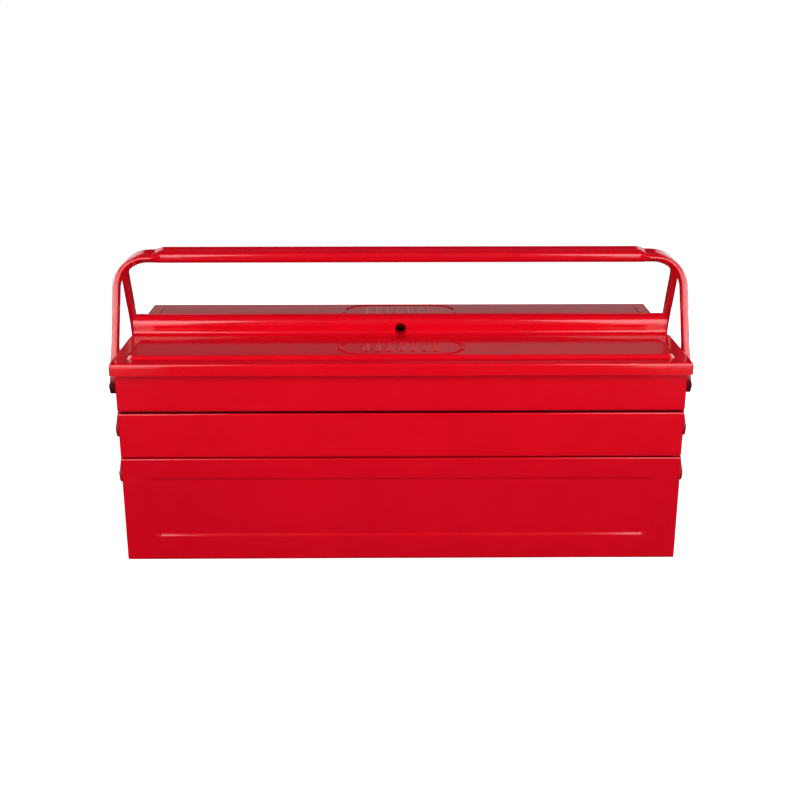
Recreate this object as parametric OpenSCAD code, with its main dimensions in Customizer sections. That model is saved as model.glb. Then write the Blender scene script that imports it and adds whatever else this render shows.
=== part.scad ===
// Cantilever tool box in sheet steel: a base, two pairs of swinging trays, two hinged lids
// with a rolled lock ridge, and a pair of folding handles.
// X runs along the box, the front faces -Y, +Z is up; the origin is under the middle of the base.

/* [Box] */
// Length over the end walls of the base and the trays
body_l = 530; // [440:5:600]
// Width over both tray banks
body_w = 220; // [200:2:260]
// Thickness of the steel sheet
sheet = 0.9; // [0.7:0.1:1.2]
// Outer radius of the folds along the floors
fold_r = 3; // [2:0.5:6]
// Height of the folded hem inside each rim
hem_h = 6; // [4:0.5:8]
// Gap between the front and the rear bank
bank_gap = 1; // [0.8:0.1:3]

/* [Base] */
// Height of the base
base_h = 104; // [95:1:130]
// Width of the flanges that join the base's ends to its shell
flange_w = 12; // [8:1:20]
// Plain margin left and right of the pressed panel in the base's long walls
base_panel_side = 25; // [15:1:60]
// Plain margin under that panel
base_panel_low = 25; // [15:1:35]
// Plain margin over that panel
base_panel_high = 18.5; // [12:0.5:30]
// Depth of that panel
base_panel_depth = 1.2; // [0.6:0.1:2]
// Corner radius of that panel
base_panel_r = 9; // [6:1:15]

/* [Trays] */
// Height of a lower tray
lower_tray_h = 44.3; // [42:0.1:60]
// Height of an upper tray
upper_tray_h = 47.1; // [44:0.1:60]
// Gap between stacked rims and floors
tray_gap = 1.5; // [1:0.1:3]

/* [Lids] */
// Gap between an upper tray's rim and its lid
lid_gap = 0.4; // [0.3:0.1:1]
// Height of the lid's skirt
skirt_h = 11.5; // [10:0.5:14]
// Overhang of the skirt in front of the tray
lid_over_front = 5; // [5:0.1:7]
// Overhang of the skirt past the tray's ends
lid_over_end = 4; // [3:0.1:7]
// Rise of the pressed panel in the lid
lid_panel_rise = 2.2; // [1:0.1:3]
// Width of that panel's sloping edge
lid_panel_slope = 4.5; // [3:0.5:8]
// Plain border in front of that panel
lid_border_front = 17; // [12:0.5:25]
// Plain border behind that panel, up to the lock ridge
lid_border_rear = 23; // [14:0.5:28]
// Plain border at each end of that panel
lid_border_end = 13; // [8:0.5:30]
// Length of the raised oval in the middle of the panel
oval_l = 120; // [80:2:160]
// Width of the raised oval
oval_w = 42; // [30:1:44]
// Width of the oval's rim
oval_rim = 3; // [2:0.5:5]
// Height of the oval's rim and of the ribs inside it
oval_rise = 0.8; // [0.4:0.1:1.2]
// Spacing of the ribs inside the oval
rib_pitch = 11; // [8:0.5:20]
// Width of a rib
rib_w = 4; // [2:0.5:6]

/* [Lock ridge] */
// Height of the ridge over the lid
ridge_h = 18; // [16:0.5:24]
// Width of one lid's half of the ridge
ridge_w = 10; // [8:0.5:14]
// Radius of the ridge's shoulder
ridge_r = 9.4; // [4:0.2:9.4]
// Distance that the ridge stops short of the lid's ends
ridge_inset = 3; // [1:0.5:6]
// Length of the corner notch beside the ridge
notch_l = 5.5; // [2:0.5:12]
// Diameter of the padlock hole
padlock_d = 10.8; // [7:0.2:11]
// Height of the padlock hole's centre over the lid
padlock_z = 6.3; // [6:0.1:7]

/* [Lid hinge] */
// Length of the lid hinge
hinge_l = 500; // [300:10:520]
// Number of knuckles in a hinge
knuckles = 20; // [6:2:40]
// Outside diameter of a knuckle
knuckle_d = 2.8; // [2.4:0.1:2.8]
// Diameter of the hinge pin
hinge_pin_d = 1.5; // [1:0.1:1.6]
// Thickness of a hinge leaf
leaf_t = 0.6; // [0.4:0.1:0.6]
// Height of the hinge's axis over the skirt's lower edge
hinge_rise = 0.8; // [0.6:0.1:0.9]

/* [Link arms] */
// Distance of the outer pivots from the long walls
pivot_edge = 12; // [11:0.5:20]
// Distance from the middle of the box to the inner pivots
pivot_in = 10; // [9.5:0.5:16]
// Distance of the base's pivots under its rim
pivot_drop = 18; // [14:0.5:30]
// Width of a link arm
arm_w = 16; // [12:0.5:17]
// Thickness of a link arm
arm_t = 2.5; // [1.5:0.1:3]
// Diameter of a rivet's shank
rivet_d = 5; // [4:0.1:6]
// Diameter of a rivet's outer head
rivet_head_d = 11; // [9:0.5:13]
// Height of a rivet's outer head
rivet_head_h = 1.8; // [1:0.1:2]
// Thickness of the washer behind each arm
washer_t = 0.8; // [0.5:0.1:1.2]
// Diameter of that washer
washer_d = 14; // [12:0.5:16]

/* [Handles] */
// Height of the handle bar's centre
bar_z = 278; // [265:1:300]
// Distance of the handle bar's centre from the middle of the box
bar_y = 9.5; // [7.5:0.5:14]
// Diameter of the handle tube
tube_d = 12; // [10:0.5:14]
// Length of the round part of the handle
grip_l = 474; // [380:2:478]
// Thickness of the flattened tube
flat_t = 8; // [6:0.5:9]
// Width of the flattened tube
flat_w = 14; // [12:0.5:16]
// Drop of the flattened tube's centre from the bar's centre
flat_drop = 2.2; // [0:0.1:2.4]
// Radius of the bends, at the tube's centre
bend_r = 28; // [20:1:30]
// Gap between the lid's ends and the handle's legs
leg_gap = 3.5; // [3:0.5:8]
// Distance between the two rivets in a handle's leg
foot_step = 17.5; // [14:0.5:24]
// Diameter of the bushes between the legs and the link arms
bush_d = 10; // [9:0.5:12]

/* [Clearances] */
// Radial play of a shank or a pin in its hole
pin_play = 0.05; // [0.02:0.01:0.1]
// Sideways play of an arm on its rivet
side_play = 0.1; // [0.05:0.05:0.3]
// Sideways play between hinge knuckles
knuckle_play = 0.3; // [0.2:0.05:0.6]

/* [Hidden] */
$fn = 48;

ENAMEL = "#d8081e";
ZINC = "#b9bcc0";
cut = 1;  // how far a cutting shape runs past the face it opens

// Outline of the box, of one bank, and the heights of the stack
end_x = body_l / 2;
front_y = -body_w / 2;
inner_y = -bank_gap / 2;
bank_w = inner_y - front_y;
bank_y = (front_y + inner_y) / 2;
lower_z = base_h + tray_gap;
upper_z = lower_z + lower_tray_h + tray_gap;
upper_rim_z = upper_z + upper_tray_h;
lid_z = upper_rim_z + lid_gap;
lid_top_z = lid_z + sheet;

// Lid and lock ridge
lid_front_y = front_y - lid_over_front;
lid_end_x = end_x + lid_over_end;
skirt_z = lid_top_z - skirt_h;
ridge_y = inner_y - ridge_w;
ridge_end_x = lid_end_x - ridge_inset;
ridge_top_z = lid_top_z + ridge_h;
panel_front_y = lid_front_y + lid_border_front;
panel_rear_y = ridge_y - lid_border_rear;
panel_y = (panel_front_y + panel_rear_y) / 2;
panel_w = panel_rear_y - panel_front_y;
panel_l = 2 * (lid_end_x - lid_border_end);
panel_corner_r = lid_panel_slope + 1.5;

// Lid hinge
leaf_face_y = front_y - leaf_t;
skirt_face_y = lid_front_y + sheet;
hinge_y = (leaf_face_y + skirt_face_y) / 2;
hinge_z = skirt_z + hinge_rise;
knuckle_gap = 0.3;
knuckle_l = hinge_l / knuckles;
leaf_clear = knuckle_d / 2 + knuckle_gap;

// Pivots of one bank as [y, z]: the long arm joins base_out, lower_mid and upper_in
pivot_step = (body_w / 2 - pivot_edge - pivot_in) / 2;
pivot_rise = lower_tray_h + tray_gap;
base_pivot_z = base_h - pivot_drop;
base_mid = [-pivot_in - pivot_step, base_pivot_z];
base_out = [-pivot_in - 2 * pivot_step, base_pivot_z];
lower_in = [-pivot_in, base_pivot_z + pivot_rise];
lower_mid = base_mid + [0, pivot_rise];
lower_out = base_out + [0, pivot_rise];
upper_in = lower_in + [0, pivot_rise];
upper_mid = lower_mid + [0, pivot_rise];

// Layers outside an end wall, counted along X
arm_x = end_x + washer_t + side_play / 2;
arm_out_x = arm_x + arm_t;
head_x = arm_out_x + side_play / 2;
leg_in_x = lid_end_x + leg_gap;
leg_x = leg_in_x + flat_t / 2;
leg_out_x = leg_in_x + flat_t;
hole_d = rivet_d + 2 * pin_play;
inner_head_d = rivet_head_d - 1;
inner_head_h = 1.2;
arm_waist = 0.1;  // how far an arm's straight sides stand back from its eyes
neck_sink = 0.2;  // how deep the taper of a handle's grip ends in its flattened part

// A handle lies in a plane that leans from the upper pivots in to the bars
handle_lean = atan((-bar_y - upper_mid[0]) / (bar_z - upper_mid[1]));
handle_reach = norm([-bar_y - upper_mid[0], bar_z - upper_mid[1]]);
foot = upper_mid - foot_step * [sin(handle_lean), cos(handle_lean)];
flat_z = handle_reach - flat_drop;

// Both ends of the box
module both_ends() {
    children();
    mirror([1, 0, 0]) children();
}

// One end of the box: the modules below are drawn at the right end
module at_end(side) {
    mirror([side == "left" ? 1 : 0, 0, 0]) children();
}

// One bank: the modules below are drawn for the front bank
module at_bank(bank) {
    mirror([0, bank == "rear" ? 1 : 0, 0]) children();
}

// Sweeps an outline of the Y-Z plane along X
module along_x(from_x, to_x) {
    translate([from_x, 0, 0]) rotate([90, 0, 90]) linear_extrude(to_x - from_x) children();
}

// Cylinder along X through a pivot [y, z]
module bar_x(pivot, from_x, to_x, d) {
    translate([from_x, pivot[0], pivot[1]]) rotate([0, 90, 0]) cylinder(h = to_x - from_x, d = d);
}

// Two round ends joined by straight sides, which stand back from the rounds by the waist
module slot_2d(from, to, w, waist = 0) {
    run = to - from;
    side_w = w - 2 * waist;
    translate(from) circle(d = w);
    translate(to) circle(d = w);
    translate(from) rotate(atan2(run[1], run[0])) translate([0, -side_w / 2]) square([norm(run), side_w]);
}

// Box outline with two folded lower corners, standing on the X axis
module tub_2d(w, h, r) {
    translate([-w / 2, r]) square([w, h - r]);
    translate([-w / 2 + r, 0]) square([w - 2 * r, h]);
    for (side = [-1, 1]) translate([side * (w / 2 - r), r]) circle(r);
}

// Solid tub, folded along all four lower edges
module tub(l, w, h, r) {
    intersection() {
        translate([0, w / 2, 0]) rotate([90, 0, 0]) linear_extrude(w) tub_2d(l, h, r);
        translate([-l / 2, 0, 0]) rotate([90, 0, 90]) linear_extrude(l) tub_2d(w, h, r);
    }
}

// Open tray: a folded sheet with a hem inside its rim
module open_tray(l, w, h) {
    difference() {
        tub(l, w, h, fold_r);
        translate([0, 0, sheet]) tub(l - 2 * sheet, w - 2 * sheet, h - hem_h - sheet, fold_r - sheet);
        translate([-l / 2 + 2 * sheet, -w / 2 + 2 * sheet, h / 2])
            cube([l - 4 * sheet, w - 4 * sheet, h]);
    }
}

// Pressed panel with round corners: its sloping edge meets the sheet at z = 0 and starts below it
module pressed_panel(l, w, r, rise, slope) {
    root_r = r + slope * sheet / 2 / rise;
    hull() {
        for (x = [-1, 1], y = [-1, 1]) {
            translate([x * (l / 2 - r), y * (w / 2 - r), -sheet / 2])
                cylinder(h = rise + sheet / 2, r1 = root_r, r2 = r - slope, $fn = 32);
        }
    }
}

// Base shell: floor and both long walls in one folded sheet, each wall with a sunken panel
module base_shell() {
    panel_h = base_h - base_panel_low - base_panel_high;
    panel_z = base_panel_low + panel_h / 2;
    panel_len = body_l - 2 * base_panel_side;
    slope = 2;
    color(ENAMEL) difference() {
        union() {
            difference() {
                along_x(-end_x, end_x) tub_2d(body_w, base_h, fold_r);
                along_x(-end_x - cut, end_x + cut) translate([0, sheet])
                    tub_2d(body_w - 2 * sheet, base_h - hem_h - sheet, fold_r - sheet);
                along_x(-end_x - cut, end_x + cut) translate([-body_w / 2 + 2 * sheet, base_h / 2])
                    square([body_w - 4 * sheet, base_h]);
            }
            for (bank = ["front", "rear"]) at_bank(bank) translate([0, front_y + sheet, panel_z])
                rotate([-90, 0, 0]) pressed_panel(panel_len, panel_h, base_panel_r,
                    base_panel_depth, slope);
        }
        for (bank = ["front", "rear"]) at_bank(bank) translate([0, front_y, panel_z])
            rotate([-90, 0, 0]) pressed_panel(panel_len, panel_h, base_panel_r,
                base_panel_depth, slope);
    }
}

// Base end: a plate between the shell's walls with three welded flanges and a hem
module base_end(side) {
    in_y = body_w / 2 - sheet;
    color(ENAMEL) at_end(side) difference() {
        union() {
            translate([end_x - sheet, -in_y, fold_r])
                cube([sheet, 2 * in_y, base_h - hem_h - fold_r]);
            translate([end_x - sheet, -in_y + fold_r, sheet])
                cube([sheet, 2 * (in_y - fold_r), fold_r]);
            translate([end_x - flange_w, -in_y + fold_r, sheet])
                cube([flange_w, 2 * (in_y - fold_r), sheet]);
            for (s = [-1, 1]) {
                translate([end_x - flange_w, s * (in_y - sheet / 2) - sheet / 2, fold_r + sheet])
                    cube([flange_w, sheet, base_h - hem_h - 2 * fold_r - sheet]);
            }
            translate([end_x - 2 * sheet, -in_y + sheet, base_h - hem_h])
                cube([2 * sheet, 2 * (in_y - sheet), hem_h]);
        }
        for (y = [base_out[0], base_mid[0], -base_mid[0], -base_out[0]])
            bar_x([y, base_pivot_z], end_x - sheet - cut, end_x + cut, hole_d);
    }
}

// Rivet through an end wall: flat head inside, shank, domed head outside at from_x
module rivet(pivot, from_x) {
    bar_x(pivot, end_x - sheet - inner_head_h, end_x - sheet, inner_head_d);
    bar_x(pivot, end_x - sheet - inner_head_h / 2, from_x + rivet_head_h / 2, rivet_d);
    domed_head(pivot, from_x);
}

// Domed rivet head that faces out from from_x
module domed_head(pivot, from_x) {
    head_r = rivet_head_d / 2;
    ball_r = (head_r * head_r + rivet_head_h * rivet_head_h) / (2 * rivet_head_h);
    translate([from_x, pivot[0], pivot[1]]) rotate([0, 90, 0]) intersection() {
        translate([0, 0, rivet_head_h - ball_r]) sphere(ball_r);
        cylinder(h = rivet_head_h + cut, r = head_r + cut);
    }
}

module washer(pivot) {
    difference() {
        bar_x(pivot, end_x, end_x + washer_t, washer_d);
        bar_x(pivot, end_x - cut, end_x + washer_t + cut, hole_d);
    }
}

module rivets(pivots) {
    color(ENAMEL) both_ends() {
        for (p = pivots) rivet(p, head_x);
    }
}

module washers(pivots) {
    color(ZINC) both_ends() {
        for (p = pivots) washer(p);
    }
}

// The base's pivots on both banks
function both_banks(pivots) = [for (p = pivots, s = [1, -1]) [s * p[0], p[1]]];

// Tray with its pivot holes
module tray(bank, z, h, pivots) {
    color(ENAMEL) at_bank(bank) difference() {
        translate([0, bank_y, z]) open_tray(body_l, bank_w, h);
        both_ends() {
            for (p = pivots) bar_x(p, end_x - sheet - cut, end_x + cut, hole_d);
        }
    }
}

// Flat arm with an eye at each pivot in eyes; the first two carry its length
module link_arm(bank, side, eyes) {
    color(ENAMEL) at_bank(bank) at_end(side) difference() {
        along_x(arm_x, arm_out_x) slot_2d(eyes[0], eyes[1], arm_w, arm_waist);
        for (p = eyes) bar_x(p, arm_x - cut, arm_out_x + cut, hole_d);
    }
}

// Upper arm: its lobe past the upper pivot takes the handle's foot
module upper_arm(bank, side) {
    color(ENAMEL) at_bank(bank) at_end(side) difference() {
        along_x(arm_x, arm_out_x) {
            slot_2d(lower_out, upper_mid, arm_w, arm_waist);
            slot_2d(upper_mid, foot, arm_w, arm_waist);
        }
        for (p = [lower_out, upper_mid, foot]) bar_x(p, arm_x - cut, arm_out_x + cut, hole_d);
    }
}

// Cross section of half the lock ridge: outer wall, round shoulder and inner wall
module ridge_2d(inset) {
    wall_y = ridge_y + inset;
    wall_w = inner_y - inset - wall_y;
    shoulder_y = ridge_y + ridge_r;
    shoulder_z = ridge_top_z - ridge_r;
    low_z = lid_z - (inset > 0 ? cut : 0);
    high_z = ridge_top_z - inset;
    translate([wall_y, low_z]) square([wall_w, shoulder_z - low_z]);
    intersection() {
        translate([wall_y, low_z]) square([wall_w, high_z - low_z]);
        union() {
            translate([shoulder_y, low_z]) square([wall_w, high_z - low_z]);
            translate([shoulder_y, shoulder_z]) circle(ridge_r - inset);
        }
    }
}

// Ribs and rim pressed up in the middle of the lid's panel
module oval_marks() {
    straight = oval_l - oval_w;
    rib_l = oval_w - 6 * oval_rim;
    count = floor(straight / rib_pitch / 2);
    linear_extrude(oval_rise + sheet / 2) {
        difference() {
            slot_2d([-straight / 2, 0], [straight / 2, 0], oval_w);
            slot_2d([-straight / 2, 0], [straight / 2, 0], oval_w - 2 * oval_rim);
        }
        for (i = [-count : count]) translate([i * rib_pitch, 0])
            slot_2d([0, -rib_l / 2], [0, rib_l / 2], rib_w);
    }
}

// Lid: one sheet with a skirt on three sides, a raised panel and half the lock ridge
module lid(bank) {
    skirt_end_y = ridge_y - notch_l;
    lid_w = skirt_end_y - lid_front_y;
    color(ENAMEL) at_bank(bank) difference() {
        union() {
            difference() {
                translate([-lid_end_x, lid_front_y, skirt_z]) cube([2 * lid_end_x, lid_w, skirt_h]);
                translate([-lid_end_x + sheet, lid_front_y + sheet, skirt_z - cut])
                    cube([2 * (lid_end_x - sheet), lid_w + cut, skirt_h - sheet + cut]);
            }
            translate([-ridge_end_x, skirt_end_y - cut, lid_z])
                cube([2 * ridge_end_x, notch_l + sheet / 2 + cut, sheet]);
            translate([0, panel_y, lid_top_z])
                pressed_panel(panel_l, panel_w, panel_corner_r, lid_panel_rise, lid_panel_slope);
            translate([0, panel_y, lid_top_z + lid_panel_rise - sheet / 2]) oval_marks();
            difference() {
                along_x(-ridge_end_x, ridge_end_x) ridge_2d(0);
                along_x(-ridge_end_x - cut, ridge_end_x + cut) ridge_2d(sheet);
            }
        }
        translate([0, panel_y, lid_z])
            pressed_panel(panel_l, panel_w, panel_corner_r, lid_panel_rise, lid_panel_slope);
        translate([0, ridge_y - cut, lid_top_z + padlock_z]) rotate([-90, 0, 0])
            cylinder(h = ridge_w + 2 * cut, d = padlock_d);
    }
}

// Hinge leaf: a plate at plate_y up to top_z, with every second knuckle from first (0 or 1)
module hinge_leaf(bank, first, plate_y, top_z) {
    color(ENAMEL) at_bank(bank) difference() {
        union() {
            translate([-hinge_l / 2, plate_y, hinge_z + leaf_clear])
                cube([hinge_l, leaf_t, top_z - hinge_z - leaf_clear]);
            for (i = [first : 2 : knuckles - 1]) {
                x = -hinge_l / 2 + i * knuckle_l + knuckle_play / 2;
                length = knuckle_l - knuckle_play;
                bar_x([hinge_y, hinge_z], x, x + length, knuckle_d);
                translate([x, min(plate_y, hinge_y), hinge_z])
                    cube([length, max(plate_y + leaf_t - hinge_y, hinge_y - plate_y), leaf_t]);
                translate([x, plate_y, hinge_z]) cube([length, leaf_t, leaf_clear + leaf_t]);
            }
        }
        bar_x([hinge_y, hinge_z], -hinge_l / 2 - cut, hinge_l / 2 + cut, hinge_pin_d + 2 * pin_play);
    }
}

// Leaf welded to the upper tray's front wall, behind the lid's skirt
module hinge_tray_leaf(bank) hinge_leaf(bank, 0, leaf_face_y, upper_rim_z - knuckle_gap);

// Leaf welded inside the lid's front skirt
module hinge_lid_leaf(bank) hinge_leaf(bank, 1, skirt_face_y, lid_z - knuckle_gap);

module hinge_pin(bank) {
    color(ZINC) at_bank(bank)
        bar_x([hinge_y, hinge_z], -hinge_l / 2, hinge_l / 2, hinge_pin_d);
}

// Flattened tube section, thin along the first axis
module flat_2d() {
    half = (flat_w - flat_t) / 2;
    slot_2d([0, -half], [0, half], flat_t);
}

// Right half of a handle, standing on the upper pivot before it leans in
module handle_half() {
    bend_x = leg_x - bend_r;
    bend_z = flat_z - bend_r;
    grip_x = grip_l / 2;
    neck_x = grip_x - flat_t / 2;
    translate([leg_x, 0, -foot_step]) linear_extrude(bend_z + foot_step) flat_2d();
    for (z = [0, -foot_step]) translate([leg_in_x, 0, z]) rotate([0, 90, 0])
        cylinder(h = flat_t, d = flat_w);
    translate([bend_x, 0, bend_z]) rotate([90, 0, 0]) rotate_extrude(angle = 90)
        translate([bend_r, 0]) flat_2d();
    translate([neck_x, 0, flat_z]) rotate([0, 90, 0]) linear_extrude(bend_x - neck_x) flat_2d();
    translate([0, 0, handle_reach]) rotate([0, 90, 0]) {
        cylinder(h = grip_x, d = tube_d);
        translate([0, 0, grip_x])
            cylinder(h = bend_x - grip_x, d1 = tube_d, d2 = flat_t - 2 * flat_drop - 2 * neck_sink);
    }
}

module handle(bank) {
    color(ENAMEL) at_bank(bank) difference() {
        translate([0, upper_mid[0], upper_mid[1]]) rotate([-handle_lean, 0, 0])
            both_ends() handle_half();
        both_ends() {
            for (p = [upper_mid, foot]) bar_x(p, leg_in_x - cut, leg_out_x + cut, hole_d);
        }
    }
}

// Long rivets on which the handles and the upper arms turn
module handle_pivots(bank) {
    color(ENAMEL) at_bank(bank) both_ends() rivet(upper_mid, leg_out_x + side_play / 2);
}

// Rivets that fix the handle's feet to the upper arms, flush behind the arm
module handle_rivets(bank) {
    color(ENAMEL) at_bank(bank) both_ends() {
        bar_x(foot, arm_x, leg_out_x + rivet_head_h / 2, rivet_d);
        domed_head(foot, leg_out_x);
    }
}

module handle_bushes(bank) {
    color(ZINC) at_bank(bank) both_ends() {
        for (p = [upper_mid, foot]) difference() {
            bar_x(p, arm_out_x, leg_in_x, bush_d);
            bar_x(p, arm_out_x - cut, leg_in_x + cut, hole_d);
        }
    }
}

module lower_tray(bank) tray(bank, lower_z, lower_tray_h, [lower_in, lower_mid, lower_out]);
module upper_tray(bank) tray(bank, upper_z, upper_tray_h, [upper_in, upper_mid]);
module long_arm(bank, side) link_arm(bank, side, [base_out, upper_in, lower_mid]);
module lower_arm(bank, side) link_arm(bank, side, [base_mid, lower_in]);
module lower_tray_rivets(bank) at_bank(bank) rivets([lower_in, lower_mid, lower_out]);
module lower_tray_washers(bank) at_bank(bank) washers([lower_in, lower_mid, lower_out]);
module upper_tray_rivets(bank) at_bank(bank) rivets([upper_in]);
module upper_tray_washers(bank) at_bank(bank) washers([upper_in, upper_mid]);

base_shell();
base_end("left");  // base_end_left
base_end("right");  // base_end_right
rivets(both_banks([base_out, base_mid]));  // base_rivets
washers(both_banks([base_out, base_mid]));  // base_washers

lower_tray("front");  // front_lower_tray
lower_tray_rivets("front");  // front_lower_tray_rivets
lower_tray_washers("front");  // front_lower_tray_washers
upper_tray("front");  // front_upper_tray
upper_tray_rivets("front");  // front_upper_tray_rivets
upper_tray_washers("front");  // front_upper_tray_washers
handle_pivots("front");  // front_handle_pivots
lid("front");  // front_lid
hinge_tray_leaf("front");  // front_hinge_tray_leaf
hinge_lid_leaf("front");  // front_hinge_lid_leaf
hinge_pin("front");  // front_hinge_pin
long_arm("front", "left");  // front_long_arm_left
long_arm("front", "right");  // front_long_arm_right
lower_arm("front", "left");  // front_lower_arm_left
lower_arm("front", "right");  // front_lower_arm_right
upper_arm("front", "left");  // front_upper_arm_left
upper_arm("front", "right");  // front_upper_arm_right
handle("front");  // front_handle
handle_rivets("front");  // front_handle_rivets
handle_bushes("front");  // front_handle_bushes

lower_tray("rear");  // rear_lower_tray
lower_tray_rivets("rear");  // rear_lower_tray_rivets
lower_tray_washers("rear");  // rear_lower_tray_washers
upper_tray("rear");  // rear_upper_tray
upper_tray_rivets("rear");  // rear_upper_tray_rivets
upper_tray_washers("rear");  // rear_upper_tray_washers
handle_pivots("rear");  // rear_handle_pivots
lid("rear");  // rear_lid
hinge_tray_leaf("rear");  // rear_hinge_tray_leaf
hinge_lid_leaf("rear");  // rear_hinge_lid_leaf
hinge_pin("rear");  // rear_hinge_pin
long_arm("rear", "left");  // rear_long_arm_left
long_arm("rear", "right");  // rear_long_arm_right
lower_arm("rear", "left");  // rear_lower_arm_left
lower_arm("rear", "right");  // rear_lower_arm_right
upper_arm("rear", "left");  // rear_upper_arm_left
upper_arm("rear", "right");  // rear_upper_arm_right
handle("rear");  // rear_handle
handle_rivets("rear");  // rear_handle_rivets
handle_bushes("rear");  // rear_handle_bushes
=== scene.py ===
import math

import bmesh
import bpy
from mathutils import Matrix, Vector


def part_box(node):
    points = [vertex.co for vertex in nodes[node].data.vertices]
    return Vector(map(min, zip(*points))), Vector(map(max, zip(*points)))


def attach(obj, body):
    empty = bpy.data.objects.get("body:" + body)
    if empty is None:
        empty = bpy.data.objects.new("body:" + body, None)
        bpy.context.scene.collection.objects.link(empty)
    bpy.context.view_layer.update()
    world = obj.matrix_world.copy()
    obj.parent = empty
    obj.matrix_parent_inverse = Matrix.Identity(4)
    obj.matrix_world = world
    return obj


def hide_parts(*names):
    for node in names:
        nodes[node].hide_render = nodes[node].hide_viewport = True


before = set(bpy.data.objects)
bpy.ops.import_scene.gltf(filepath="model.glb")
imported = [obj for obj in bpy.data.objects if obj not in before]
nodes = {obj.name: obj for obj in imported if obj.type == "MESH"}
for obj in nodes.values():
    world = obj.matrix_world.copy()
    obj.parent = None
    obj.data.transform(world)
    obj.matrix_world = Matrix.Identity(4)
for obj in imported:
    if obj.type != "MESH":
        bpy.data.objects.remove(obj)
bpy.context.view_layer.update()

MM = 0.001
WELD_M = 2e-6  # vertices closer than this are one vertex

# ---------------------------------------------------------------- sizes, in millimetres
END_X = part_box("base_shell")[1].x / MM
FRONT_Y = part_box("base_shell")[0].y / MM
BASE_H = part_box("base_shell")[1].z / MM
SHEET = 0.9
FOLD_R = 3.0
HEM_H = 6.0
HEM_R = 1.2  # the rolled edge is a little thicker than the sheet's two layers

# the plain ribbed oval on the lids
OVAL_L, OVAL_W, OVAL_RIM, OVAL_UP = 120.0, 54.0, 3.0, 0.8
RIBS_PER_SIDE, RIB_PITCH, RIB_HALF_L, RIB_R = 3, 11.0, 14.0, 2.6
OVAL_FOOT, OVAL_STEEP = 0.5, 1.7  # the rim's foot beyond its width, and how fast the relief rises

# where the handle turns with its upper arm, and how far its bar stands from the middle
HANDLE_PIVOT_Y, HANDLE_PIVOT_Z, BAR_Y = -54.0, 177.6, 9.5
TUBE_R = 6.0
LEG_R = 4.0  # how far the flattened leg reaches outwards from its line

HOLE_R, HOLE_UP = 5.5, 5.2  # the padlock hole's radius, and its height over the lid's top


def node_box(name):
    """Lowest and highest corners of a CAD node in millimetres."""
    lo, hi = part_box(name)
    return [c / MM for c in lo], [c / MM for c in hi]


# ---------------------------------------------------------------- shader helpers
def linear(c):
    return c / 12.92 if c <= 0.04045 else ((c + 0.055) / 1.055) ** 2.4


def rgb(r, g, b):
    return (linear(r / 255), linear(g / 255), linear(b / 255), 1.0)


WHITE = (1, 1, 1, 1)
# a deep red that paints shade
SHADE_RED = rgb(70, 3, 14)
MOST_NOISE = (0.3, 0.7)  # most of a noise texture's values lie between these


def add_node(nt, kind, inputs=None, **settings):
    """A shader node with its settings; each input takes a link or a fixed value."""
    new = nt.nodes.new(kind)
    for key, value in settings.items():
        setattr(new, key, value)
    for key, value in (inputs or {}).items():
        if isinstance(value, bpy.types.NodeSocket):
            nt.links.new(value, new.inputs[key])
        else:
            new.inputs[key].default_value = value
    return new


def empty_tree(block, output="ShaderNodeOutputMaterial"):
    """Clears the nodes of a material or world; returns its tree and its surface input."""
    block.use_nodes = True
    nt = block.node_tree
    nt.nodes.clear()
    return nt, add_node(nt, output).inputs["Surface"]


def noise(nt, coords, scale, detail, rough):
    inputs = {"Vector": coords, "Scale": scale, "Detail": detail, "Roughness": rough}
    return add_node(nt, "ShaderNodeTexNoise", inputs).outputs["Fac"]


def ramp(nt, value, across, result):
    """Runs through the pair of results while the value runs across the pair of limits."""
    inputs = {"Value": value, "From Min": across[0], "From Max": across[1],
              "To Min": result[0], "To Max": result[1]}
    return add_node(nt, "ShaderNodeMapRange", inputs).outputs["Result"]


def blend(nt, factor, a, b):
    inputs = {"Factor": factor, "A": a, "B": b}
    return add_node(nt, "ShaderNodeMix", inputs, data_type="RGBA").outputs["Result"]


def larger(nt, a, b):
    return add_node(nt, "ShaderNodeMath", {0: a, 1: b}, operation="MAXIMUM").outputs[0]


def bump(nt, height, distance, strength, normal=None):
    inputs = {"Height": height, "Distance": distance, "Strength": strength}
    if normal is not None:
        inputs["Normal"] = normal
    return add_node(nt, "ShaderNodeBump", inputs).outputs["Normal"]


def matt(nt, value):
    return add_node(nt, "ShaderNodeBsdfDiffuse", {"Color": (value, value, value, 1)}).outputs[0]


def glow(nt, strength, kind="ShaderNodeEmission"):
    return add_node(nt, kind, {"Color": WHITE, "Strength": strength}).outputs[0]


def mix_shaders(nt, factor, a, b):
    return add_node(nt, "ShaderNodeMixShader", {0: factor, 1: a, 2: b}).outputs[0]


def seen_by_eye(nt):
    """1 for camera, glossy and transmission rays, 0 for the rays that carry light."""
    ray = add_node(nt, "ShaderNodeLightPath").outputs
    direct = larger(nt, ray["Is Camera Ray"], ray["Is Glossy Ray"])
    return larger(nt, direct, ray["Is Transmission Ray"])


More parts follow.
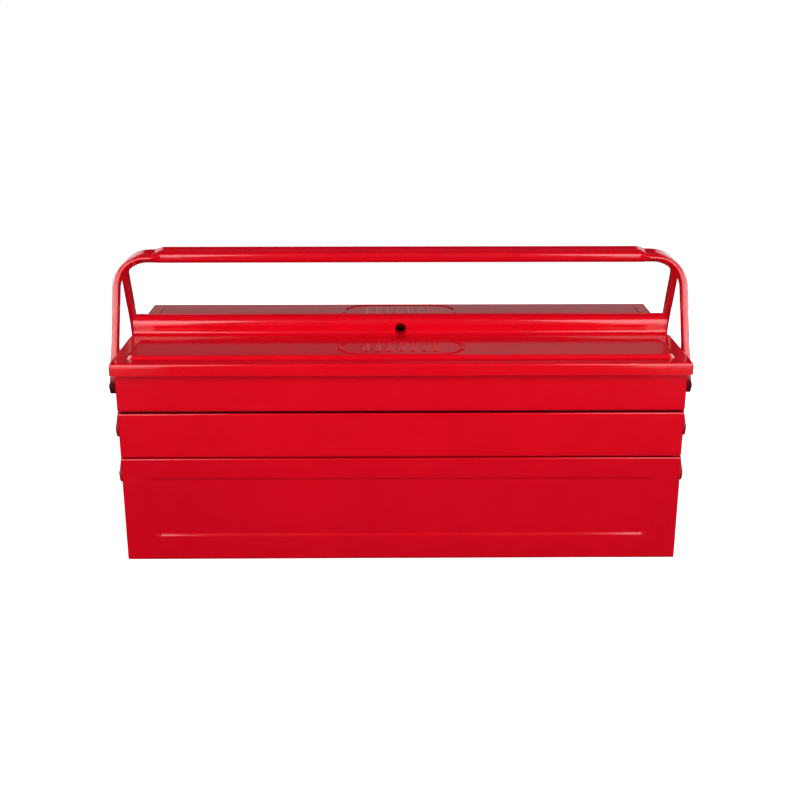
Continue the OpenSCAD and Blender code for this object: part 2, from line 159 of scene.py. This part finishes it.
# ---------------------------------------------------------------- materials
def enamel(name, dark, light, rough=(0.09, 0.14), waves=0.08, shine=0.5, shade_below=None):
    """Sprayed glossy enamel: a faint tone drift, smudged gloss, slow waves and orange peel.

    Painted shade, a pair of heights in metres, is full below the first and gone above the second:
    there the paint turns dark, dull and almost without reflection, standing in for shadow.
    """
    m = bpy.data.materials.new(name)
    nt, surface = empty_tree(m)
    coords = add_node(nt, "ShaderNodeTexCoord").outputs["Object"]
    drift = noise(nt, coords, scale=14.0, detail=3.0, rough=0.55)
    colour = blend(nt, ramp(nt, drift, MOST_NOISE, (0.0, 1.0)), dark, light)
    smudge = noise(nt, coords, scale=55.0, detail=4.0, rough=0.6)
    gloss = ramp(nt, smudge, MOST_NOISE, rough)
    # painted shade: darker, duller paint with little reflection below the given heights
    if shade_below:
        height = add_node(nt, "ShaderNodeSeparateXYZ", {0: coords}).outputs["Z"]
        colour = blend(nt, ramp(nt, height, shade_below, (1.0, 0.0)), colour, SHADE_RED)
        gloss = larger(nt, gloss, ramp(nt, height, shade_below, (0.7, 0.0)))
        shine = ramp(nt, height, shade_below, (0.05, shine))
    slow = noise(nt, coords, scale=11.0, detail=1.0, rough=0.4)
    fine = noise(nt, coords, scale=620.0, detail=2.0, rough=0.5)
    normal = bump(nt, slow, distance=0.0016, strength=waves)
    normal = bump(nt, fine, distance=0.00012, strength=0.10, normal=normal)
    inputs = {"Base Color": colour, "Roughness": gloss, "Normal": normal,
              "IOR": 1.5, "Specular IOR Level": shine}
    paint = add_node(nt, "ShaderNodeBsdfPrincipled", inputs)
    nt.links.new(paint.outputs["BSDF"], surface)
    return m


def zinc(name):
    """Bright zinc plating with cloudy roughness and fine turning marks."""
    m = bpy.data.materials.new(name)
    nt, surface = empty_tree(m)
    coords = add_node(nt, "ShaderNodeTexCoord").outputs["Object"]
    cloud = noise(nt, coords, scale=180.0, detail=3.0, rough=0.6)
    tone = ramp(nt, cloud, MOST_NOISE, (0.0, 1.0))
    marks = noise(nt, coords, scale=2600.0, detail=2.0, rough=0.6)
    inputs = {"Metallic": 1.0,
              "Base Color": blend(nt, tone, rgb(168, 170, 174), rgb(205, 206, 208)),
              "Roughness": ramp(nt, cloud, MOST_NOISE, (0.28, 0.42)),
              "Normal": bump(nt, marks, distance=0.0001, strength=0.12)}
    metal = add_node(nt, "ShaderNodeBsdfPrincipled", inputs)
    nt.links.new(metal.outputs["BSDF"], surface)
    return m


# the box's one red is set a little darker on the base and lighter on the lids than on the trays:
# painted shade and light for the light falling off towards the floor
mats = {
    "base_enamel": enamel("base_enamel_paint", rgb(208, 4, 27), rgb(216, 5, 29)),
    "tray_enamel": enamel("tray_enamel_paint", rgb(214, 4, 27), rgb(222, 5, 29)),
    "lid_enamel": enamel("lid_enamel_paint", rgb(219, 4, 27), rgb(227, 5, 29), waves=0.04),
    # the handle's feet, under the lid's skirt, carry painted shade
    "handle_enamel": enamel("handle_enamel_paint", rgb(209, 4, 27), rgb(217, 5, 29), waves=0.03,
                            shade_below=(0.166, 0.178)),
    # the arms' red is darker than the rest of the box: painted shade for their edges, which stand in
    # shadow at the box's ends
    "arm_enamel": enamel("arm_enamel_paint", rgb(150, 4, 20), rgb(158, 5, 22), rough=(0.35, 0.45),
                         waves=0.05, shine=0.2),
    "hardware_enamel": enamel("hardware_enamel_paint", rgb(208, 4, 27), rgb(216, 5, 29), waves=0.0),
    "zinc_steel": zinc("zinc_plate"),
}


# ---------------------------------------------------------------- mesh helpers
def add_object(name, data):
    """A new object in the scene's own collection."""
    ob = bpy.data.objects.new(name, data)
    bpy.context.scene.collection.objects.link(ob)
    return ob


def edit_mesh(me, change):
    """Applies one bmesh change to a mesh."""
    bm = bmesh.new()
    bm.from_mesh(me)
    change(bm)
    bm.to_mesh(me)
    bm.free()


def weld(bm):
    bmesh.ops.remove_doubles(bm, verts=bm.verts, dist=WELD_M)


def face_outwards(bm):
    bmesh.ops.recalc_face_normals(bm, faces=bm.faces)


def shade_smooth(me):
    for p in me.polygons:
        p.use_smooth = True


def make(name, verts, faces, body, replaced, slot, side=1):
    """One piece from millimetre coordinates, riding on its body; side -1 mirrors it to the rear."""
    if side < 0:
        faces = [tuple(reversed(f)) for f in faces]
    me = bpy.data.meshes.new(name)
    me.from_pydata([(x * MM, side * y * MM, z * MM) for x, y, z in verts], [], faces)
    me.validate()
    edit_mesh(me, weld)
    shade_smooth(me)
    me.materials.append(mats[slot])
    ob = add_object(name, me)
    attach(ob, body)
    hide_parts(*replaced)
    return ob


def add_bevel(ob, width, angle):
    """Rounds the edges sharper than an angle in degrees, with a width in millimetres."""
    bevel = ob.modifiers.new("edge_round", "BEVEL")
    bevel.width = width * MM
    bevel.segments = 2
    bevel.limit_method = "ANGLE"
    bevel.angle_limit = math.radians(angle)
    bevel.harden_normals = False
    bevel.use_clamp_overlap = True
    bevel.miter_outer = "MITER_ARC"


def weigh_normals(ob):
    """Keeps flat faces flat beside their rounded edges."""
    normals = ob.modifiers.new("face_normals", "WEIGHTED_NORMAL")
    normals.mode = "FACE_AREA"
    normals.weight = 50
    normals.keep_sharp = True


def arc(cx, cy, r, a0, a1, n):
    """Points of an arc from angle a0 to a1 in degrees, both ends included."""
    angles = [math.radians(a0 + (a1 - a0) * i / n) for i in range(n + 1)]
    return [(cx + r * math.cos(a), cy + r * math.sin(a)) for a in angles]


def graded(spans):
    """Grid lines from (start, end, step) spans, sorted and without doubles."""
    marks = []
    for start, end, step in spans:
        n = max(1, round((end - start) / step))
        marks += [start + (end - start) * i / n for i in range(n + 1)]
    marks.sort()
    lines = [marks[0]]
    for mark in marks[1:]:
        if mark - lines[-1] > 0.05:
            lines.append(mark)
    return lines


def soft_step(t, knee=0.22):
    """A ramp from 0 to 1 with rounded feet, as a pressed edge has."""
    if t <= 0:
        return 0.0
    if t >= 1:
        return 1.0
    steep = 1.0 / (1.0 - knee)
    if t < knee:
        return steep * t * t / (2 * knee)
    if t > 1 - knee:
        return 1.0 - steep * (1 - t) * (1 - t) / (2 * knee)
    return steep * (t - knee / 2)


def inside_rect(x, y, half_x, half_y, r):
    """Distance inside a round-cornered rectangle, negative outside it."""
    qx, qy = abs(x) - half_x + r, abs(y) - half_y + r
    outside = math.hypot(max(qx, 0), max(qy, 0))
    return r - outside - min(max(qx, qy), 0)


def loop_rect(x0, x1, y0, y1, r, z):
    """Round-cornered rectangle of points, anticlockwise seen from above."""
    loop = []
    for cx, cy, start in ((x1 - r, y0 + r, -90), (x1 - r, y1 - r, 0),
                          (x0 + r, y1 - r, 90), (x0 + r, y0 + r, 180)):
        loop += [(x, y, z) for x, y in arc(cx, cy, r, start, start + 90, 4)]
    return loop


def loft(loops):
    """A skin over closed loops of equal length, capped at both ends."""
    verts, faces, n = [], [], len(loops[0])
    for loop in loops:
        verts += loop
    for k in range(len(loops) - 1):
        for i in range(n):
            j = (i + 1) % n
            faces.append((k * n + i, k * n + j, (k + 1) * n + j, (k + 1) * n + i))
    faces.append(tuple(reversed(range(n))))
    faces.append(tuple(range((len(loops) - 1) * n, len(loops) * n)))
    return verts, faces


# ---------------------------------------------------------------- trays
def tray_mesh(lo, hi):
    """A folded sheet tray: round folds along the floor and a closed hem round the rim."""
    (x0, y0, z0), (x1, y1, z1) = lo, hi
    flat = 12.0  # the floor is flat inside this inset
    hem_in, hem_z, lip = 2 * HEM_R, z1 - HEM_H, 0.4  # lip rounds the hem's raw edge
    outer_r, inner_r, hem_r, floor_r = 1.4, 0.9, 0.7, 0.8  # of the corners seen from above
    # inset, height and corner radius, from the underside over the rim to the floor
    path = [(flat, z0, floor_r)]
    path += [(d, z, outer_r) for d, z in arc(FOLD_R, z0 + FOLD_R, FOLD_R, 270, 180, 6)]
    path += [(0, z0 + FOLD_R + 2, outer_r), (0, z1 - HEM_R - 1.5, outer_r)]
    path += [(d, z, outer_r - 0.3 * d) for d, z in arc(HEM_R, z1 - HEM_R, HEM_R, 180, 0, 10)]
    path += [(hem_in, hem_z + lip, hem_r)]
    path += [(d, z, hem_r) for d, z in arc(hem_in - lip, hem_z + lip, lip, 0, -90, 3)]
    path += [(SHEET, z, inner_r) for z in (hem_z, hem_z - 1, z0 + FOLD_R + 1)]
    path += [(d, z, inner_r) for d, z in arc(FOLD_R, z0 + FOLD_R, FOLD_R - SHEET, 180, 270, 5)]
    path += [(flat, z0 + SHEET, floor_r)]
    return loft([loop_rect(x0 + d, x1 - d, y0 + d, y1 - d, r, z) for d, z, r in path])


for bank in ("front", "rear"):
    for level in ("lower", "upper"):
        name = f"{bank}_{level}_tray"
        verts, faces = tray_mesh(*node_box(name))
        ob = make(f"{name}_sheet", verts, faces, name, [name], "tray_enamel")
        weigh_normals(ob)


# ---------------------------------------------------------------- base shell
def base_section(wall_z):
    """Pairs of outer and inner (y, z) points, from the front rim under the floor to the rear rim."""
    rim_z = BASE_H + 1.0
    hem_y, hem_z, bend_z = FRONT_Y + 2 * HEM_R, rim_z - HEM_H, rim_z - HEM_R
    fold_y, roll_y, flat_y = FRONT_Y + FOLD_R, FRONT_Y + HEM_R, FRONT_Y + 14
    half = [((0, 0), (0, SHEET)), ((flat_y, 0), (flat_y, SHEET))]
    half += zip(arc(fold_y, FOLD_R, FOLD_R, 270, 180, 6),
                arc(fold_y, FOLD_R, FOLD_R - SHEET, 270, 180, 6))
    half += [((FRONT_Y, z), (FRONT_Y + SHEET, z)) for z in wall_z + [hem_z - 0.05]]
    half += [((FRONT_Y, z), (hem_y, z)) for z in (hem_z, bend_z - 1.5)]
    half += zip(arc(roll_y, bend_z, HEM_R, 180, 90, 6), arc(roll_y, bend_z, HEM_R, 0, 90, 6))
    mirrored = [((-y0, z0), (-y1, z1)) for (y0, z0), (y1, z1) in half[1:]]
    return half[::-1] + mirrored


def base_mesh():
    """Floor and both long walls in one sheet, with a shallow sunken panel in each wall."""
    # the panel's borders to the ends, the floor and the rim, then its depth and corner radius
    border, low, high, depth, corner_r = 25.0, 25.0, 18.5, 1.2, 9.0
    slope, ends = 2.4, 0.35  # its edge slopes over 2.4, and over 2.4 / 0.35 at its ends
    half_x, half_z = END_X - border, (BASE_H - low - high) / 2
    mid_z, top = low + half_z, BASE_H - high
    wall_z = graded([(FOLD_R, low - 1, 10), (low - 1, low + 10, 1), (low + 10, top - 10, 8),
                     (top - 10, top + 1, 1), (top + 1, BASE_H - HEM_H, 5)])
    section = base_section(wall_z[1:-1])
    xs = graded([(-END_X, -half_x - 1, 6), (-half_x - 1, -half_x + 10, 1),
                 (-half_x + 10, half_x - 10, 20),
                 (half_x - 10, half_x + 1, 1), (half_x + 1, END_X, 6)])

    def sunk(x, y, z):
        inside = inside_rect(x * ends, z - mid_z, half_x * ends, half_z, corner_r * ends)
        return x, y - math.copysign(depth * soft_step(inside / slope), y), z

    n = len(section)
    verts = [sunk(x, *pair[surface]) for x in xs for surface in (0, 1) for pair in section]
    faces = []
    for k in range(len(xs) - 1):
        a, b = k * 2 * n, (k + 1) * 2 * n
        for i in range(n - 1):
            faces.append((a + i, a + i + 1, b + i + 1, b + i))
            faces.append((a + n + i + 1, a + n + i, b + n + i, b + n + i + 1))
    last = (len(xs) - 1) * 2 * n
    for i in range(n - 1):
        faces.append((i + 1, i, n + i, n + i + 1))
        faces.append((last + i, last + i + 1, last + n + i + 1, last + n + i))
    return verts, faces


verts, faces = base_mesh()
ob = make("base_shell_sheet", verts, faces, "base", ["base_shell"], "base_enamel")
add_bevel(ob, width=0.2, angle=60)
weigh_normals(ob)


# ---------------------------------------------------------------- lids
def oval_height(x, y):
    """Height of the ribbed oval's relief, at a place measured from the panel's middle."""
    from_spine = math.hypot(max(abs(x) - (OVAL_L - OVAL_W) / 2, 0), y)
    rim = 1 - abs(from_spine - (OVAL_W - OVAL_RIM) / 2) / (OVAL_RIM / 2 + OVAL_FOOT)
    nearest = max(-RIBS_PER_SIDE, min(RIBS_PER_SIDE, round(x / RIB_PITCH)))
    rib = 1 - math.hypot(x - nearest * RIB_PITCH, max(abs(y) - RIB_HALF_L, 0)) / RIB_R
    return OVAL_UP * soft_step(max(rim, rib) * OVAL_STEEP)


def lid_mesh():
    """Front lid's outer skin, and the padlock hole's wall planes and height."""
    lo, hi = node_box("front_lid")
    lid_x, front, skirt_z, ridge_in, ridge_top = hi[0], lo[1], lo[2], hi[1], hi[2]
    top, fold_r = skirt_z + 11.5, 2.4
    ridge_y, ridge_r, ridge_x = ridge_in - 10.0, 9.4, lid_x - 3.0
    notch_y = ridge_y - 5.5  # behind it the lid is as long as the ridge
    panel_x, panel_y0, panel_y1 = lid_x - 13.5, front + 14, ridge_y - 28.4
    mid_y, half_y = (panel_y0 + panel_y1) / 2, (panel_y1 - panel_y0) / 2
    rise, slope, corner_r = 3.2, 3.4, 7.0  # of the pressed panel

    def height(x, y):
        inside = inside_rect(x, y - mid_y, panel_x, half_y, corner_r)
        return top + (rise * soft_step(inside / slope) + oval_height(x, y - mid_y))

    # grid lines lie close together over the panel's sloping edge and under the oval
    side_x, oval_x = lid_x - fold_r, OVAL_L / 2 + 6
    xs = graded([(-side_x, -panel_x - 1, 3.5), (-panel_x - 1, -panel_x + 7, 0.8),
                 (-panel_x + 7, -oval_x, 14), (-oval_x, oval_x, 0.9), (oval_x, panel_x - 7, 14),
                 (panel_x - 7, panel_x + 1, 0.8), (panel_x + 1, side_x, 3.5)])
    clear = [round(x, 4) for x in xs if abs(abs(x) - ridge_x) > 0.4]
    xs = sorted(set(clear + [-ridge_x, ridge_x]))
    ys = graded([(front + fold_r, panel_y0 - 0.5, 3.5), (panel_y0 - 0.5, panel_y0 + 5, 0.7),
                 (panel_y0 + 5, panel_y1 - 5, 0.9), (panel_y1 - 5, panel_y1 + 0.5, 0.7),
                 (panel_y1 + 0.5, notch_y, 3)])
    verts, faces, index = [], [], {}

    def vert(x, y, z):
        key = (round(x, 4), round(y, 4), round(z, 4))
        if key not in index:
            index[key] = len(verts)
            verts.append(key)
        return index[key]

    def grid(cols, rows):
        """Quads over columns of x and rows of (y, z), where z None follows the relief."""
        for a, b in zip(cols, cols[1:]):
            for (y0, z0), (y1, z1) in zip(rows, rows[1:]):
                quad = [(a, y0, z0), (b, y0, z0), (b, y1, z1), (a, y1, z1)]
                faces.append(tuple(vert(x, y, height(x, y) if z is None else z)
                                   for x, y, z in quad))

    grid(xs, [(y, None) for y in ys])
    # the strip behind the notch, then up the ridge's outer wall, over it and down its inner wall
    fillet, edge_r = 3.4, 0.5
    foot_z, shoulder_z = top + fillet, ridge_top - ridge_r
    wall_top, wall_foot = ridge_top - 2, top - SHEET
    rows = [(notch_y, top), (notch_y + 1.2, top)]
    rows += arc(ridge_y - fillet, foot_z, fillet, 270, 360, 4)
    rows += [(ridge_y, foot_z + (shoulder_z - foot_z) * k / 3) for k in (1, 2)]
    rows += arc(ridge_y + ridge_r, shoulder_z, ridge_r, 180, 91, 18)
    rows += arc(ridge_in - edge_r, ridge_top - edge_r, edge_r, 90, 0, 3)
    rows += [(ridge_in, wall_top - (wall_top - wall_foot) * k / 6) for k in range(7)]
    grid([x for x in xs if abs(x) < ridge_x + 0.01], rows)

    # the lid's edge with its outward direction, from the right notch round the front to the left
    edge = [(side_x, y, 0) for y in ys[:0:-1]]
    edge += [(side_x, ys[0], -22.5 * k) for k in range(5)]
    edge += [(x, ys[0], -90) for x in xs[-2:0:-1]]
    edge += [(-side_x, ys[0], -90 - 22.5 * k) for k in range(5)]
    edge += [(-side_x, y, 180) for y in ys[1:]]
    edge = [(x, y, math.cos(math.radians(a)), math.sin(math.radians(a))) for x, y, a in edge]
    fold_z = top - fold_r
    profile = arc(0, fold_z, fold_r, 90, 0, 5)  # outward distance and height of each ring
    profile += [(fold_r, fold_z - (fold_z - skirt_z) * k / 4) for k in range(1, 5)]
    rings = [[(x + out * nx, y + out * ny, z) for x, y, nx, ny in edge] for out, z in profile]
    for upper, lower in zip(rings, rings[1:]):
        for i in range(len(edge) - 1):
            quad = [vert(*p) for p in (upper[i], upper[i + 1], lower[i + 1], lower[i])]
            quad = list(dict.fromkeys(quad))  # a corner's points fall together in the first ring
            if len(quad) > 2:
                faces.append(tuple(quad))
    return verts, faces, (ridge_y, ridge_in, top + HOLE_UP)


def cut_hole(ob, y0, y1, z):
    """Drills the padlock hole from y0 to y1, with the object's modifiers applied first."""
    circle = arc(0, z, HOLE_R, 0, 360, 40)[:-1]
    verts, faces = loft([[(cx * MM, y * MM, cz * MM) for cx, cz in circle] for y in (y0, y1)])
    me = bpy.data.meshes.new("cutter")
    me.from_pydata(verts, [], faces)
    edit_mesh(me, face_outwards)
    cutter = add_object("cutter", me)
    cut = ob.modifiers.new("hole", "BOOLEAN")
    cut.operation = "DIFFERENCE"
    cut.solver = "EXACT"
    cut.object = cutter
    depsgraph = bpy.context.evaluated_depsgraph_get()
    drilled = bpy.data.meshes.new_from_object(ob.evaluated_get(depsgraph))
    ob.modifiers.clear()
    ob.data = drilled
    bpy.data.objects.remove(cutter)
    shade_smooth(drilled)


verts, faces, (outer_y, inner_y, hole_z) = lid_mesh()
for bank, side in (("front", 1), ("rear", -1)):
    ob = make(f"{bank}_lid_sheet", verts, faces, f"{bank}_lid", [f"{bank}_lid"], "lid_enamel", side)
    thick = ob.modifiers.new("sheet", "SOLIDIFY")
    thick.thickness = SHEET * MM
    thick.offset = -1
    thick.use_even_offset = True
    thick.use_rim = True
    cut_hole(ob, side * (inner_y - 3), side * (inner_y + 3), hole_z)
    if bank == "front":  # no light shows through, so the rear ridge's outer wall stays whole
        cut_hole(ob, outer_y - 3, outer_y + 5, hole_z)
    add_bevel(ob, width=0.22, angle=50)
    weigh_normals(ob)


# ---------------------------------------------------------------- handles
def tube_section(outer, inner, half_w, r_outer, r_inner, across_outer, across_inner):
    """Points round a section, as distances out of the bend and to the front.

    It reaches outer and inner from the tube's line and half_w to each side. The quarters are
    elliptic: r_* is their radius out of the bend and across_* the one to the side.
    """
    points = []
    for quarter in range(4):
        on_outside, in_front = quarter in (0, 3), quarter in (0, 1)
        r, across = (r_outer, across_outer) if on_outside else (r_inner, across_inner)
        centre = outer - r if on_outside else r - inner
        aside = half_w - across if in_front else across - half_w
        for k in range(9):
            a = math.radians(90 * quarter + 90 * k / 8)
            points.append((centre + r * math.cos(a), aside + across * math.sin(a)))
    return points


def between(one, two, share):
    return tuple(p + (q - p) * share for p, q in zip(one, two))


def handle_stations(leg_x, reach):
    """Places along half the tube: x, distance up its plane, direction in degrees, section."""
    foot_end = (LEG_R, LEG_R, 0.35, 0.35, 0.35, 0.35, 0.35)
    foot_pad = (LEG_R, LEG_R, 7.0, 2.0, 2.0, 2.0, 2.0)
    strap = (LEG_R, 2.4, 7.0, 4.6, 1.3, 5.2, 1.6)
    tube = (TUBE_R,) * 7
    foot, foot_r, bend = -17.5, 7.0, 28.0
    flat = reach - 2.2  # the flattened bends lie a little lower than the bar
    ramp_x, grip_x = leg_x - bend - 4.0, 233.5  # the strap turns into the tube between these
    stations = []
    for k in range(9):
        a = math.radians(90 * k / 8)
        section = between(foot_end, foot_pad, math.sin(a))
        stations.append((leg_x, foot - foot_r * math.cos(a), 90, section))
    for up in (foot + 8, 0.0, 8.0):
        stations.append((leg_x, up, 90, foot_pad))
    for up in (22.0, 45.0, flat - bend - 4):
        stations.append((leg_x, up, 90, strap))
    for k, (x, up) in enumerate(arc(leg_x - bend, flat - bend, bend, 0, 90, 24)):
        stations.append((x, up, 90 + 90 * k / 24, strap))
    for k in range(13):
        share = soft_step(k / 12, 0.2)
        x = ramp_x - (ramp_x - grip_x) * k / 12
        stations.append((x, flat + (reach - flat) * share, 180, between(strap, tube, share)))
    stations += [(x, reach, 180, tube) for x in (228, 180, 120, 60, 0)]
    return stations


def handle_mesh():
    """One bent tube: flattened legs and bends, round where the hand holds it."""
    outer_x, _, top_z = node_box("front_handle")[1]
    dy, dz = -BAR_Y - HANDLE_PIVOT_Y, top_z - TUBE_R - HANDLE_PIVOT_Z
    reach = math.hypot(dy, dz)
    up_y, up_z = dy / reach, dz / reach  # up along the handle's plane
    front_y, front_z = -up_z, up_y  # out of that plane, towards the front
    half = handle_stations(outer_x - LEG_R, reach)
    stations = half + [(-x, up, 360 - turn, section) for x, up, turn, section in half[-2::-1]]
    loops = []
    for x, up, turn, section in stations:
        out_x, out_up = math.sin(math.radians(turn)), -math.cos(math.radians(turn))
        loop = []
        for out, aside in tube_section(*section):
            s = up + out * out_up
            loop.append((x + out * out_x, HANDLE_PIVOT_Y + s * up_y + aside * front_y,
                         HANDLE_PIVOT_Z + s * up_z + aside * front_z))
        loops.append(loop)
    return loft(loops)


verts, faces = handle_mesh()
for bank, side in (("front", 1), ("rear", -1)):
    ob = make(f"{bank}_handle_tube", verts, faces, f"{bank}_handle", [f"{bank}_handle"],
              "handle_enamel", side)
    edit_mesh(ob.data, face_outwards)


# ---------------------------------------------------------------- carried-over CAD nodes
# edge rounding in millimetres, by a word in the node's name
ROUNDING = {"long_arm": 0.5, "lower_arm": 0.5, "upper_arm": 0.5, "base_end": 0.25,
            "washers": 0.12, "hinge_tray_leaf": 0.1, "hinge_lid_leaf": 0.1}
for name, ob in nodes.items():
    if ob.hide_render:
        continue
    slot = ob.data.materials[0].name.split(".")[0]
    ob.data.materials[0] = mats[slot]
    welded = ob.modifiers.new("weld", "WELD")
    welded.merge_threshold = WELD_M
    for word, width in ROUNDING.items():
        if word in name:
            add_bevel(ob, width, angle=40)
    weigh_normals(ob)


# ---------------------------------------------------------------- floor and backdrop
# white to the eye alone: what lights the paint is a matt grey floor and a faint fill
bpy.ops.mesh.primitive_plane_add(size=14, location=(0, 0, -0.0003))
floor = bpy.context.object
floor.name = "floor"
pale = bpy.data.materials.new("pale_floor")
nt, surface = empty_tree(pale)
bright = add_node(nt, "ShaderNodeAddShader", {0: matt(nt, 0.9), 1: glow(nt, 0.96)}).outputs[0]
nt.links.new(mix_shaders(nt, seen_by_eye(nt), matt(nt, 0.30), bright), surface)
floor.data.materials.append(pale)

world = bpy.data.worlds.new("studio")
bpy.context.scene.world = world
nt, surface = empty_tree(world, "ShaderNodeOutputWorld")
fill, seen = [glow(nt, strength, "ShaderNodeBackground") for strength in (0.05, 1.0)]
nt.links.new(mix_shaders(nt, seen_by_eye(nt), fill, seen), surface)


# ---------------------------------------------------------------- cards for the reflections
# a room of cards in metres: half its width, its near and far walls, its ceiling and its floor
ROOM_X, NEAR_Y, FAR_Y, CEILING_Z, CARD_FLOOR_Z = 1.3, -2.4, 1.4, 2.4, -0.0001
GREY_X, GREY_Z = 0.6, 0.34  # half the width and the foot of the far wall's grey middle


def card_paint(name, brightness, heights):
    """A card's brightness, which runs through the pair between the pair of heights in metres."""
    m = bpy.data.materials.new(name)
    nt, surface = empty_tree(m)
    place = add_node(nt, "ShaderNodeNewGeometry").outputs["Position"]
    height = add_node(nt, "ShaderNodeSeparateXYZ", {0: place}).outputs["Z"]
    nt.links.new(glow(nt, ramp(nt, height, heights, brightness)), surface)
    return m


def card(name, corners, paint):
    """A photographer's flag: only reflections see it, and it sheds no light and no shadow."""
    me = bpy.data.meshes.new(name)
    me.from_pydata(corners, [], [(0, 1, 2, 3)])
    me.materials.append(paint)
    ob = add_object(name, me)
    ob.visible_camera = False
    ob.visible_diffuse = False
    ob.visible_transmission = False
    ob.visible_volume_scatter = False
    ob.visible_shadow = False


def level_card(name, z, paint):
    corners = [(-ROOM_X, NEAR_Y, z), (ROOM_X, NEAR_Y, z), (ROOM_X, FAR_Y, z), (-ROOM_X, FAR_Y, z)]
    card(name, corners, paint)


def upright_card(name, x0, x1, y, z0, z1, paint):
    card(name, [(x0, y, z0), (x1, y, z0), (x1, y, z1), (x0, y, z1)], paint)


black = card_paint("card_black", (0.02, 0.02), (0.0, 1.0))
grey_left = card_paint("card_grey_left", (0.46, 0.03), (0.47, 0.66))
grey_right = card_paint("card_grey_right", (0.36, 0.03), (0.52, 0.74))
level_card("card_floor", CARD_FLOOR_Z, black)
upright_card("card_front", -ROOM_X, ROOM_X, NEAR_Y, 0.0, CEILING_Z, black)
level_card("card_top", CEILING_Z, black)
upright_card("card_back_low", -ROOM_X, ROOM_X, FAR_Y, 0.0, GREY_Z, black)
for sign, grey in ((-1, grey_left), (1, grey_right)):
    upright_card("card_back", 0, sign * GREY_X, FAR_Y, GREY_Z, CEILING_Z, grey)
    upright_card("card_back_end", sign * GREY_X, sign * ROOM_X, FAR_Y, GREY_Z, CEILING_Z, black)


# ---------------------------------------------------------------- lamps
AIM = Vector((0, 0, 0.12))


def softbox(name, span, rise, distance, radiance, lights=True, shows=True):
    """Rectangular lamp between two azimuths from -Y and two elevations, as seen from the box."""
    turn, up = math.radians(sum(span) / 2), math.radians(sum(rise) / 2)
    wide = 2 * distance * math.tan(math.radians(abs(span[1] - span[0]) / 2))
    tall = 2 * distance * math.tan(math.radians((rise[1] - rise[0]) / 2))
    way = Vector((math.sin(turn) * math.cos(up), -math.cos(turn) * math.cos(up), math.sin(up)))
    lamp = bpy.data.lights.new(name, "AREA")
    lamp.shape = "RECTANGLE"
    lamp.size, lamp.size_y = wide, tall
    lamp.energy = radiance * math.pi * wide * tall
    ob = add_object(name, lamp)
    ob.location = AIM + way * distance
    ob.rotation_euler = (-way).to_track_quat("-Z", "Y").to_euler()
    ob.visible_camera = False
    ob.visible_diffuse = lights
    ob.visible_glossy = shows


# azimuths and elevations in degrees, distance in metres, radiance on the left and on the right
PAINT_LAMPS = {"front": ((7, 50), (-6, 34), 1.0, (1.78, 1.92)),
               "high": ((8, 42), (36, 56), 1.2, (3.5, 3.5)),
               "side": ((75, 118), (-4, 24), 1.0, (0.8, 0.8)),
               "back": ((128, 176), (-6, 24), 1.0, (1.6, 1.6))}
MIRRORED_LAMPS = {"gloss_low": ((24, 50), (-7, 14), 0.85, (2.6, 2.6)),
                  "gloss_front": ((24, 50), (14, 46), 0.85, (5.2, 5.2)),
                  "gloss_side": ((50, 105), (-6, 34), 1.0, (4.5, 4.5)),
                  "gloss_rear": ((105, 135), (5, 45), 1.0, (2.4, 2.4))}
for k, (side, sign) in enumerate((("left", -1), ("right", 1))):
    for name, (span, rise, distance, radiance) in PAINT_LAMPS.items():
        azimuths = [sign * a for a in span]
        softbox(f"{name}_{side}", azimuths, rise, distance, radiance[k], shows=False)
    for name, (span, rise, distance, radiance) in MIRRORED_LAMPS.items():
        azimuths = [sign * a for a in span]
        softbox(f"{name}_{side}", azimuths, rise, distance, radiance[k], lights=False)
softbox("zenith", (-25, 25), (70, 110), 1.3, 0.25, shows=False)

# ---------------------------------------------------------------- camera and picture
FOCAL_PX, PICTURE_PX, SENSOR_MM = 1202.8, 800, 36
cam_data = bpy.data.cameras.new("camera")
cam_data.sensor_width = SENSOR_MM
cam_data.lens = FOCAL_PX * SENSOR_MM / PICTURE_PX
cam_data.clip_start, cam_data.clip_end = 0.05, 50
cam = add_object("camera", cam_data)
cam.location = (-0.0113, -1.1716, 0.5154)
cam.rotation_euler = (math.radians(90 - 18.36), 0.0, math.radians(-0.53))
bpy.context.scene.camera = cam
bpy.context.scene.view_settings.view_transform = "Standard"

bpy.context.view_layer.update()
